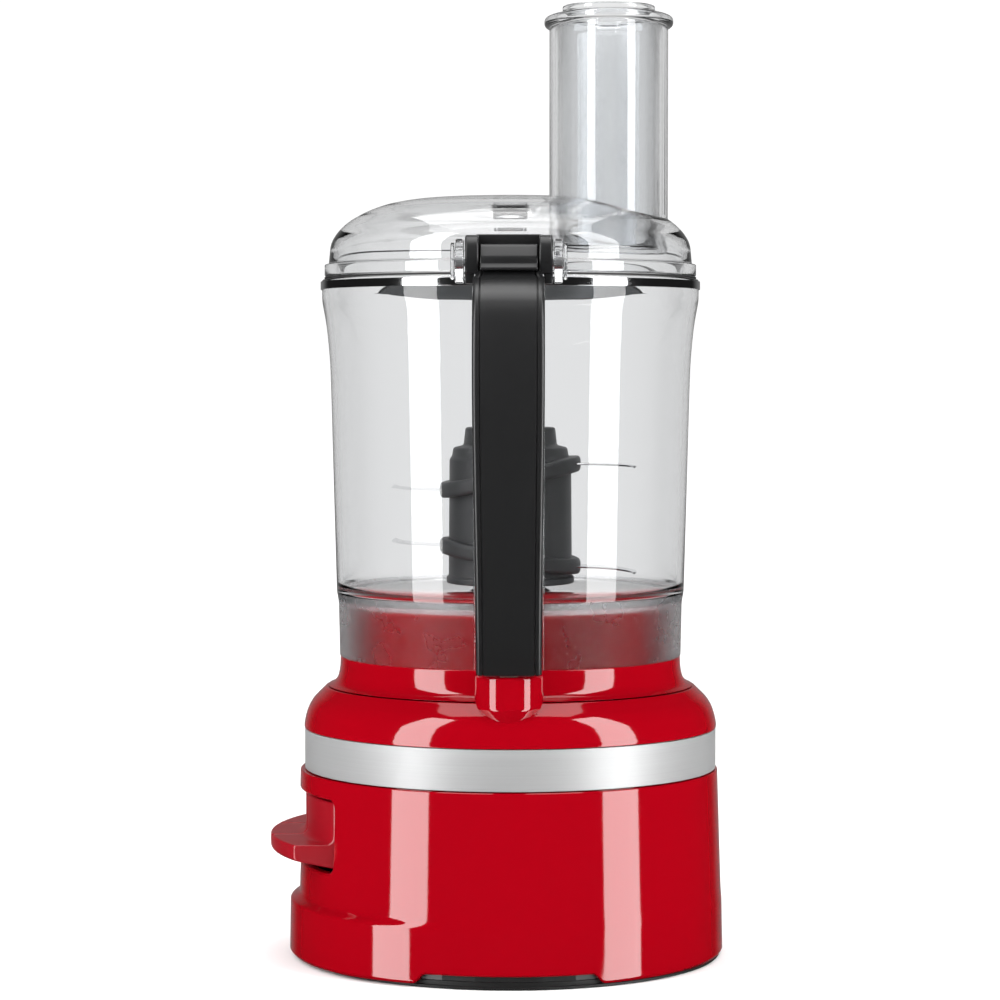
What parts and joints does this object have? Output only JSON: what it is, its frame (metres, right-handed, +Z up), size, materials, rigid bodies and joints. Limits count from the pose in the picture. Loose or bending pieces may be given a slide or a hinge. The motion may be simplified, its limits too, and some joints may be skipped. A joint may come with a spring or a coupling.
{
  "type": "food processor",
  "caption": "Compact food processor: round motor base with press paddles, clear bowl with handle, hinged domed lid with oval feed tube and pushers, and a spinning blade hub.",
  "frame": {"origin": "centre of the object's bounding box, at the soles of the feet", "axes": "+Z up along the drive axis, +X towards the bowl's handle, -Y towards the control paddles (the front), +Y towards the feed tube (the back)"},
  "size_m": [0.2298, 0.2082, 0.4345],
  "materials": {
    "red_shell": "high gloss",
    "red_satin": "satin",
    "band_metal": "brushed",
    "black_plastic": "matte",
    "black_handle": "satin",
    "rubber": "matte",
    "steel": "machined",
    "blade_steel": "polished",
    "laminations": "laminated",
    "copper": "wound copper",
    "brass": "plain",
    "circuit_board": "plain",
    "nylon": "plain",
    "hub_plastic": "textured",
    "clear_bowl": "clear",
    "clear_lid": "clear",
    "clear_pusher": "clear"
  },
  "bodies": {
    "base": {"lower_housing": "red_shell", "trim_band": "band_metal", "upper_housing": "red_shell", "neck_collar": "red_shell", "bottom_plate": "black_plastic", "foot_front_left": "rubber", "foot_front_right": "rubber", "foot_rear_left": "rubber", "foot_rear_right": "rubber", "housing_screw_1": "steel", "housing_screw_2": "steel", "housing_screw_3": "steel", "housing_screw_4": "steel", "motor_frame": "steel", "motor_stator": "laminations", "brush_holder_left": "brass", "brush_holder_right": "brass", "lower_bearing": "steel", "upper_bearing": "steel", "shaft_seal": "rubber", "control_board": "circuit_board", "switch_low": "black_plastic", "switch_high": "black_plastic", "switch_pulse": "black_plastic", "paddle_carrier": "black_plastic", "paddle_pivot_rod": "steel", "paddle_low_spring": "steel", "paddle_high_spring": "steel", "paddle_pulse_spring": "steel", "interlock_switch": "black_plastic", "interlock_spring": "steel", "cord_gland": "black_plastic"},
    "drive": {"drive_shaft": "steel", "drive_gear": "nylon", "drive_coupling": "nylon"},
    "motor_rotor": {"motor_shaft": "steel", "armature": "copper", "cooling_fan": "nylon", "motor_pinion": "steel"},
    "low_key": {"paddle_low": "red_satin"},
    "high_key": {"paddle_high": "red_satin"},
    "pulse_key": {"paddle_pulse": "red_satin"},
    "plunger": {"interlock_plunger": "nylon"},
    "work_bowl": {"bowl": "clear_bowl", "rod_channel": "clear_bowl", "handle_grip": "black_handle", "lid_hinge_pin": "steel"},
    "push_rod": {"interlock_rod": "nylon"},
    "lid_assembly": {"lid": "clear_lid", "lid_gasket": "rubber", "latch_pin_left": "steel", "latch_pin_right": "steel"},
    "latch": {"lid_latch": "black_handle"},
    "large_pusher_body": {"large_pusher": "clear_pusher"},
    "small_pusher_body": {"small_pusher": "clear_pusher"},
    "blade_assembly": {"blade_hub": "hub_plastic", "blade_1": "blade_steel", "blade_2": "blade_steel", "blade_3": "blade_steel", "blade_4": "blade_steel"}
  },
  "joints": [
    {"name": "drive_spin", "type": "hinge", "parent": "base", "child": "drive", "pos_m": [-0.01705, 0.00625, 0.1], "axis": [0, 0, 1], "continuous": true},
    {"name": "motor_spin", "type": "hinge", "parent": "base", "child": "motor_rotor", "pos_m": [-0.01705, 0.04825, 0.04], "axis": [0, 0, 1], "continuous": true},
    {"name": "bowl_lift", "type": "slide", "parent": "base", "child": "work_bowl", "axis": [0, 0, 1], "range_m": [0, 0.11]},
    {"name": "blade_spin", "type": "hinge", "parent": "work_bowl", "child": "blade_assembly", "pos_m": [-0.01705, 0.00625, 0.2], "axis": [0, 0, 1], "continuous": true},
    {"name": "lid_hinge", "type": "hinge", "parent": "work_bowl", "child": "lid_assembly", "pos_m": [-0.10855, 0.00625, 0.311], "axis": [0, -1, 0], "range_deg": [0, 75]},
    {"name": "lid_latch_swing", "type": "hinge", "parent": "lid_assembly", "child": "latch", "pos_m": [0.07695, 0.00625, 0.3145], "axis": [0, -1, 0], "range_deg": [0, 22]},
    {"name": "interlock_rod_slide", "type": "slide", "parent": "work_bowl", "child": "push_rod", "axis": [0, 0, 1], "range_m": [0, 0.0031]},
    {"name": "interlock_plunger_slide", "type": "slide", "parent": "base", "child": "plunger", "axis": [0, 0, 1], "range_m": [0, 0.0031], "deforming": ["interlock_spring"]},
    {"name": "large_pusher_slide", "type": "slide", "parent": "lid_assembly", "child": "large_pusher_body", "axis": [0, 0, 1], "range_m": [0, 0.105]},
    {"name": "small_pusher_slide", "type": "slide", "parent": "large_pusher_body", "child": "small_pusher_body", "axis": [0, 0, 1], "range_m": [0, 0.115]},
    {"name": "paddle_low_press", "type": "hinge", "parent": "base", "child": "low_key", "pos_m": [-0.01705, -0.07125, 0.06], "axis": [1, 0, 0], "range_deg": [0, 3.5], "stiffness_Nm_per_rad": 0.8, "springref_deg": -1.72},
    {"name": "paddle_high_press", "type": "hinge", "parent": "base", "child": "high_key", "pos_m": [-0.01705, -0.07125, 0.06], "axis": [1, 0, 0], "range_deg": [0, 3.5], "stiffness_Nm_per_rad": 0.8, "springref_deg": -1.72},
    {"name": "paddle_pulse_press", "type": "hinge", "parent": "base", "child": "pulse_key", "pos_m": [-0.01705, -0.07125, 0.06], "axis": [1, 0, 0], "range_deg": [0, 3.5], "stiffness_Nm_per_rad": 0.8, "springref_deg": -1.72}
  ],
  "couplings": [
    {"joint": "motor_spin", "follows": "drive_spin", "ratio": -5},
    {"joint": "blade_spin", "follows": "drive_spin", "ratio": 1},
    {"joint": "interlock_rod_slide", "follows": "lid_latch_swing", "m_per_rad": 0.007813},
    {"joint": "interlock_plunger_slide", "follows": "lid_latch_swing", "m_per_rad": 0.007813}
  ]
}
